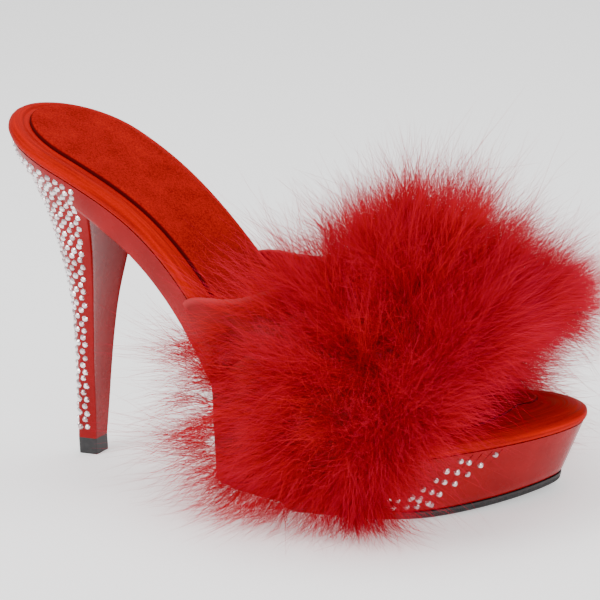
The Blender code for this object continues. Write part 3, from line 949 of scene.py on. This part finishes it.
# Stones round the platform's side panel, both sides: x and fall from edge to edge
panel = {
    "frontTop": 0.1715,
    "frontLean": 0.026,
    "frontPitch": 0.0042,
    "rearTop": 0.0885,
    "rearLean": 0.0150,
    "rearPitch": 0.0036,
    "rowStart": 0.1030,
    "rowPitch": 0.0036,
    "upperStart": 0.1070,
    "upperPitch": 0.0034,
}
spots = []
for side in (-1, 1):
    places = []
    for column in range(3):
        for k in range(6 if column == 0 else 5):
            fall = 0.12 + 0.145 * k + 0.07 * (column % 2)
            x = panel["frontTop"] - panel["frontLean"] * fall - panel["frontPitch"] * column
            places.append((x, fall))
    for column in range(3):
        for k in range(6):
            fall = 0.15 + 0.14 * k + 0.07 * (column % 2)
            places.append((panel["rearTop"] + panel["rearLean"] * fall + panel["rearPitch"] * column, fall))
    for k in range(14):
        places.append((panel["rowStart"] + panel["rowPitch"] * k, 0.90))
        if k < 13:
            places.append((panel["upperStart"] + panel["upperPitch"] * k, 0.74))
    for x, fall in places:
        x += random.uniform(-1, 1) * 0.0004
        p = sidePoint(x, side, min(0.94, fall + random.uniform(-1, 1) * 0.012))
        hit, normal, _, _ = unitTree.ray_cast(p + Vector((0, side * 0.02, 0)), Vector((0, -side, 0)))
        if hit and (hit - p).length < 0.004:
            spots.append((hit, normal))
platformStones = makeStones("platformStones", spots, random)
print("platform stones", len(spots))

# Feather trim: a soft core, darker red as painted shade of the depths, and barbs that stand out of it in
# tufts
# centre along, across and height, root along, across and height, reach
puffRows = [
    (0.770, 0.06, 0.84, 0.745, 0.03, 0.55, 0.37),
    (0.680, -0.38, 0.25, 0.670, -0.21, 0.18, 0.37),
    (0.690, 0.36, 0.30, 0.680, 0.20, 0.20, 0.33),
    (0.840, -0.20, 0.38, 0.760, -0.10, 0.30, 0.34),
    (0.880, 0.08, 0.41, 0.780, 0.04, 0.36, 0.32),
    (0.812, -0.42, 0.19, 0.735, -0.30, 0.15, 0.29),
]
fur = {
    "edge": 0.0060,
    "floor": 0.0090,
    "hang": 0.25,
    "rear": 0.10,
    "front": 0.985,
    "brow": 0.85,
    "frontFan": 1.1,
    "rearFan": 0.5,
    "core": 0.62,
    "pieces": 5,
    "barbs": 17000,
    "perTuft": 50,
    "segments": 5,
    "length": 0.0275,
    "width": 0.00013,
    "past": (0.013, 0.012, 0.012),
    "ground": 0.004,
    "lowest": 0.0015,
    "press": 0.0024,
    "give": 0.00625,
    "rootSpread": 0.0016,
    "barbSpread": 0.24,
    "barbBend": 0.16,
    "tuftBend": 0.22,
    "droop": 0.12,
    "curl": 0.05,
    "wisps": 0.05,
    "wispLength": 1.4,
    "seed": 21,
}
furLow = np.array(cadLow) - fur["past"]
furHigh = np.array(cadHigh) + fur["past"]


def puffSpots(first):
    spots = []
    for row in puffRows:
        along, across, height = row[first : first + 3]
        x = along * sole["length"] - sole["overhang"]
        y = (float(swingAt(along)) + across) * sole["ballWidth"]
        spots.append((x, y, float(soleTop(x)) + height * vamp["instep"]))
    return np.array(spots)


puffCentres, puffRoots = puffSpots(0), puffSpots(3)
puffReach = [row[6] * sole["ballWidth"] for row in puffRows]


def furBase(across, late):
    side = np.clip(across, -1, 1)
    spot = vampPoints(side, late) + vampNormals(side, late) * (vamp["wall"] + 0.0006)
    fall = np.maximum(0, np.abs(across) - 1) / fur["hang"]
    spot[..., 2] = lerp(spot[..., 2], fur["floor"], fall)
    return spot


def furDirection(points):
    total = np.zeros(points.shape)
    for root in puffRoots:
        away = points - root
        length = np.linalg.norm(away, axis=-1)[..., None]
        total += away / length**3.5
    return unitLength(total)


def furOuter(base, across, late):
    side = np.clip(across, -1, 1)
    forward = unitLength(vampPoints(side, late + 0.01) - vampPoints(side, late - 0.01))
    fan = fur["frontFan"] * np.clip((late - 0.6) / 0.4, 0, 1) ** 2
    fan = fan - fur["rearFan"] * np.clip((0.5 - late) / 0.3, 0, 1) ** 2
    way = vampNormals(side, late) * 0.4 + furDirection(base) * 0.6
    way = unitLength(way + forward * fan[..., None])
    depth = np.full(base.shape[:-1], fur["edge"])
    for centre, reach in zip(puffCentres, puffReach):
        offset = base - centre
        ray = (offset * way).sum(-1)
        inside = ray**2 - (offset**2).sum(-1) + reach**2
        depth = np.where(inside > 0, np.maximum(depth, np.sqrt(np.maximum(inside, 0)) - ray), depth)
    return way, depth


coreAcross, coreForth = 70, 32
grid = np.meshgrid(
    np.linspace(-1 - fur["hang"], 1 + fur["hang"], coreAcross + 1),
    np.linspace(0.24, fur["front"], coreForth + 1),
)
base = furBase(grid[0], grid[1])
way, depth = furOuter(base, grid[0], grid[1])
outer = base + way * (depth * fur["core"])[..., None]
outer[..., 2] = np.maximum(outer[..., 2], fur["floor"] - 0.002)
columns = coreAcross + 1
points = np.concatenate([base.reshape(-1, 3), outer.reshape(-1, 3)])
half = len(points) // 2
faces = []
for j in range(coreForth):
    for i in range(coreAcross):
        a = j * columns + i
        faces.append((a, a + 1, a + columns + 1, a + columns))
        faces.append((half + a, half + a + columns, half + a + columns + 1, half + a + 1))
for j in range(coreForth):
    for a in (j * columns, j * columns + coreAcross):
        faces.append((a, a + columns, half + a + columns, half + a))
for i in range(coreAcross):
    for a in (i, coreForth * columns + i):
        faces.append((a, a + 1, half + a + 1, half + a))
# the core fills the trim's inner mass and carries its painted shade
furCore = meshObject("furCore", points, faces, coreShadePaint, 180)
outward(furCore)
replaceWith(furCore, "marabou_trim")


def makeBarbs(name, random, number):
    tufts = number // fur["perTuft"]
    across = random.uniform(-1 - fur["hang"], 1 + fur["hang"], tufts * 6)
    rows = (fur["rear"], fur["front"], tufts * 4), (fur["brow"], fur["front"], tufts * 2)
    late = np.concatenate([random.uniform(*row) for row in rows])
    base = furBase(across, late)
    way, depth = furOuter(base, across, late)
    share = random.uniform(0.05, 0.92, tufts * 6)
    weight = (0.25 + depth * share / 0.02) ** 1.6
    chosen = random.choice(tufts * 6, tufts, replace=False, p=weight / weight.sum())
    base, way, depth, share = base[chosen], way[chosen], depth[chosen], share[chosen]
    root = base + way * (depth * share)[:, None]
    flow = unitLength(furDirection(root) * 0.6 + way)
    swirl = unitLength(random.normal(size=(tufts, 3)))
    tuftWay = unitLength(flow + swirl * random.uniform(0.1, 0.85, tufts)[:, None])
    tuftBend = random.normal(size=(tufts, 3)) * fur["tuftBend"] - np.array([0, 0, fur["droop"]])
    tuftLength = fur["length"] * random.uniform(0.7, 1.1, tufts)

    which = np.repeat(np.arange(tufts), fur["perTuft"])
    total = len(which)
    start = root[which] + random.normal(size=(total, 3)) * fur["rootSpread"]
    aim = unitLength(tuftWay[which] + random.normal(size=(total, 3)) * fur["barbSpread"])
    bend = tuftBend[which] + random.normal(size=(total, 3)) * fur["barbBend"]
    length = tuftLength[which] * random.uniform(0.55, 1.15, total)
    length = length * np.where(random.uniform(0, 1, total) < fur["wisps"], fur["wispLength"], 1.0)
    curl = random.normal(size=(total, 3)) * fur["curl"]
    steps = np.linspace(0, 1, fur["segments"] + 1)
    s = steps[None, :, None]
    line = start[:, None] + length[:, None, None] * (
        aim[:, None] * s + bend[:, None] * s**2 * 0.5 + curl[:, None] * np.sin(5 * s) * s
    )
    # A barb that would leave the trim's space is shorter.
    away = line - start[:, None]
    room = np.where(away > 0, furHigh - start[:, None], furLow - start[:, None])
    room = room / np.where(away == 0, 1, away)
    room = np.where(away == 0, 1, np.abs(room)).min((1, 2))
    fit = np.clip(room, 0.1, 1) * np.where(room < 1, random.uniform(0.7, 1, total), 1)
    line = start[:, None] + away * fit[:, None, None]
    height = line[..., 2]
    pressed = fur["lowest"] + fur["press"] * np.exp((height - fur["ground"]) / fur["give"])
    line[..., 2] = np.where(height < fur["ground"], pressed, height)
    tangent = np.gradient(line, axis=1)
    side = unitLength(np.cross(tangent, random.normal(size=(total, 1, 3))))
    width = fur["width"] * np.sqrt(1 - 0.97 * steps)[None, :, None] / 2
    points = np.stack([line - side * width, line + side * width], 2).reshape(-1, 3)
    rows = 2 * len(steps)
    first = (np.arange(total) * rows)[:, None] + 2 * np.arange(fur["segments"])[None]
    quads = np.stack([first, first + 1, first + 3, first + 2], -1).reshape(-1, 4)
    mesh = bpy.data.meshes.new(name)
    mesh.vertices.add(len(points))
    mesh.vertices.foreach_set("co", points.astype(np.float32).ravel())
    mesh.loops.add(quads.size)
    mesh.loops.foreach_set("vertex_index", quads.astype(np.int32).ravel())
    mesh.polygons.add(len(quads))
    mesh.polygons.foreach_set("loop_start", (np.arange(len(quads)) * 4).astype(np.int32))
    mesh.update(calc_edges=True)
    mesh.shade_smooth()
    setAttribute(mesh, "barb", np.tile(np.repeat(steps, 2), total))
    setAttribute(mesh, "tint", np.repeat(random.uniform(0, 1, total), rows))
    mesh.materials.append(furPaint)
    item = bpy.data.objects.new(name, mesh)
    bpy.context.scene.collection.objects.link(item)
    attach(item, "root")
    return item


random = np.random.default_rng(fur["seed"])
barbPieces = [makeBarbs(f"furBarbs{i + 1}", random, fur["barbs"]) for i in range(fur["pieces"])]
print("feathers made")

# Floor, light and camera
floorPaint, coords, use = newMaterial("floorPaint")
use(
    Base_Color=(0.96, 0.96, 0.96, 1.0),
    Roughness=0.6,
    Specular_IOR_Level=0.2,
    Emission_Color=(1.0, 1.0, 1.0, 1.0),
    Emission_Strength=0.6,
)
floor = meshObject("floor", [(-3, -3, 0), (3, -3, 0), (3, 3, 0), (-3, 3, 0)], [(0, 1, 2, 3)], floorPaint)

world = bpy.data.worlds.new("studio")
bpy.context.scene.world = world
world.use_nodes = True
world.node_tree.nodes["Background"].inputs[0].default_value = (1, 1, 1, 1)
world.node_tree.nodes["Background"].inputs[1].default_value = 0.8


def areaLight(name, spot, aim, size, power):
    data = bpy.data.lights.new(name, "AREA")
    data.shape = "RECTANGLE"
    data.size, data.size_y = size
    data.energy = power
    item = bpy.data.objects.new(name, data)
    bpy.context.scene.collection.objects.link(item)
    item.location = spot
    item.rotation_euler = (Vector(aim) - Vector(spot)).to_track_quat("-Z", "Y").to_euler()


aim = (0.09, 0, 0.05)
areaLight("key", (-0.35, -0.75, 0.95), aim, (0.7, 0.5), 9)
areaLight("fill", (0.9, -0.6, 0.45), aim, (0.5, 0.5), 4)
areaLight("top", (0.1, 0.3, 1.1), aim, (0.8, 0.6), 6)

shot = {
    "place": (0.609207, -0.922386, 0.336507),
    "azimuth": 29.43869681,
    "elevation": 14.47308875,
    "roll": -2.93871066,
    "lens": 191.987,
}
azimuth, elevation, roll = (radians(shot[k]) for k in ("azimuth", "elevation", "roll"))
back = Vector((sin(azimuth) * cos(elevation), -cos(azimuth) * cos(elevation), sin(elevation)))
right = Vector((cos(azimuth), sin(azimuth), 0))
up = back.cross(right)
turn = Matrix((right * cos(roll) + up * sin(roll), up * cos(roll) - right * sin(roll), back)).transposed()
cameraData = bpy.data.cameras.new("camera")
cameraData.lens = shot["lens"]
cameraData.sensor_width = 36
cameraData.clip_start = 0.05
cameraData.clip_end = 20
camera = bpy.data.objects.new("camera", cameraData)
bpy.context.scene.collection.objects.link(camera)
camera.matrix_world = Matrix.Translation(shot["place"]) @ turn.to_4x4()
bpy.context.scene.camera = camera

print("all made")
